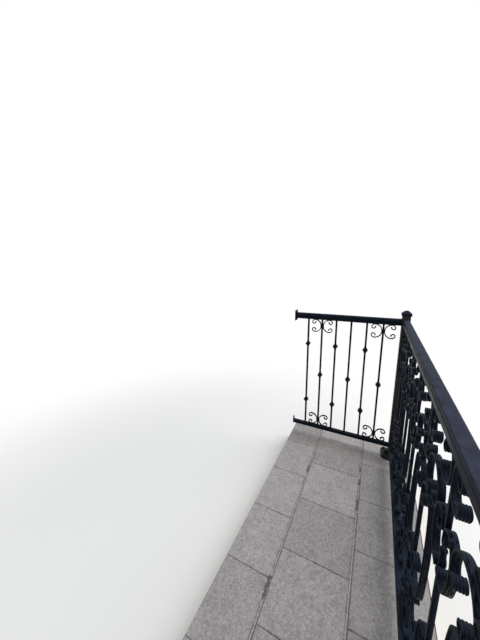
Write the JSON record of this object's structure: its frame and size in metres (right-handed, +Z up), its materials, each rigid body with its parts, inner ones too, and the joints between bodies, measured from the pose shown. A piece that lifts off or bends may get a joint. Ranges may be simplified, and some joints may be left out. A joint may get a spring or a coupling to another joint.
{
  "type": "iron balcony",
  "caption": "Wall-hung balcony with a tiled slab and a black wrought-iron guard: fluted scroll panel in front, knuckled bars with C scrolls at the ends.",
  "frame": {"origin": "on the slab's wall face, at the middle of its length and of its thickness", "axes": "+X along the wall, to the right as seen from the street; +Y into the wall; +Z up"},
  "size_m": [2.484, 0.8895, 1.287],
  "materials": {
    "black_iron": "satin black paint, slightly dusty",
    "tile": "matt warm-grey floor tile with fine speckle",
    "mortar": "rough cement mortar",
    "stucco": "sand-coloured stucco on concrete",
    "edge_metal": "dark painted edge trim"
  },
  "bodies": {
    "root": {"floor_slab": "stucco", "mortar_bed": "mortar", "floor_tiles": "tile", "edge_trim_front": "edge_metal", "edge_trim_left": "edge_metal", "edge_trim_right": "edge_metal", "front_handrail": "black_iron", "front_channel": "black_iron", "front_bottom_rail": "black_iron", "front_upper_bars": "black_iron", "front_lower_bars": "black_iron", "front_scrolls": "black_iron", "corner_post_left": "black_iron", "post_cap_left": "black_iron", "post_foot_left": "black_iron", "end_handrail_left": "black_iron", "end_channel_left": "black_iron", "end_bottom_rail_left": "black_iron", "end_bars_left": "black_iron", "end_upper_scrolls_left": "black_iron", "end_lower_scrolls_left": "black_iron", "wall_flange_left": "black_iron", "wall_tab_left": "black_iron", "corner_post_right": "black_iron", "post_cap_right": "black_iron", "post_foot_right": "black_iron", "end_handrail_right": "black_iron", "end_channel_right": "black_iron", "end_bottom_rail_right": "black_iron", "end_bars_right": "black_iron", "end_upper_scrolls_right": "black_iron", "end_lower_scrolls_right": "black_iron", "wall_flange_right": "black_iron", "wall_tab_right": "black_iron"}
  },
  "joints": []
}
